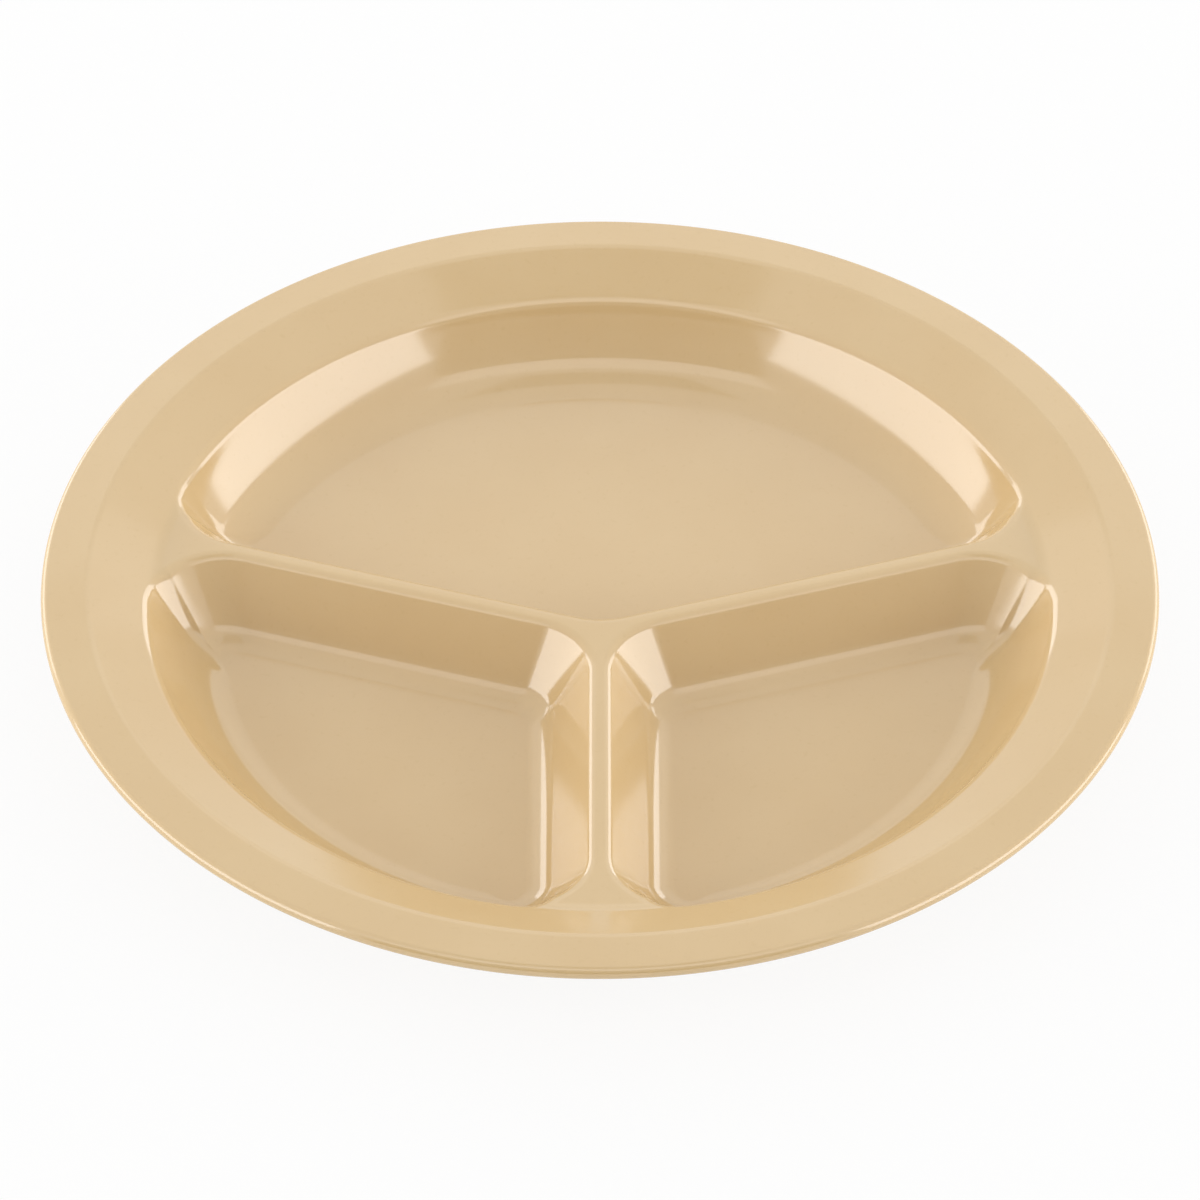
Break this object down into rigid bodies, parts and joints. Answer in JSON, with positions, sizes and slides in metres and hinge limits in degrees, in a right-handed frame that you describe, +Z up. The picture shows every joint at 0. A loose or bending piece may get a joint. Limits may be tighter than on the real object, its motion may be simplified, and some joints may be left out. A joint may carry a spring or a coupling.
{
  "type": "divided compartment plate",
  "caption": "Round glossy tan melamine dinner plate with a stepped rim and a Y-shaped ridge that parts a large well at the back from smaller wells in front.",
  "frame": {"origin": "on the table, under the axis of the round rim", "axes": "+Z up out of the wells, +Y towards the large well, +X to the right of someone eating, who sits at -Y"},
  "size_m": [0.26, 0.26, 0.026],
  "materials": {
    "melamine": "glossy moulded melamine, tan all through"
  },
  "bodies": {
    "root": {"plate": "melamine"}
  },
  "joints": []
}
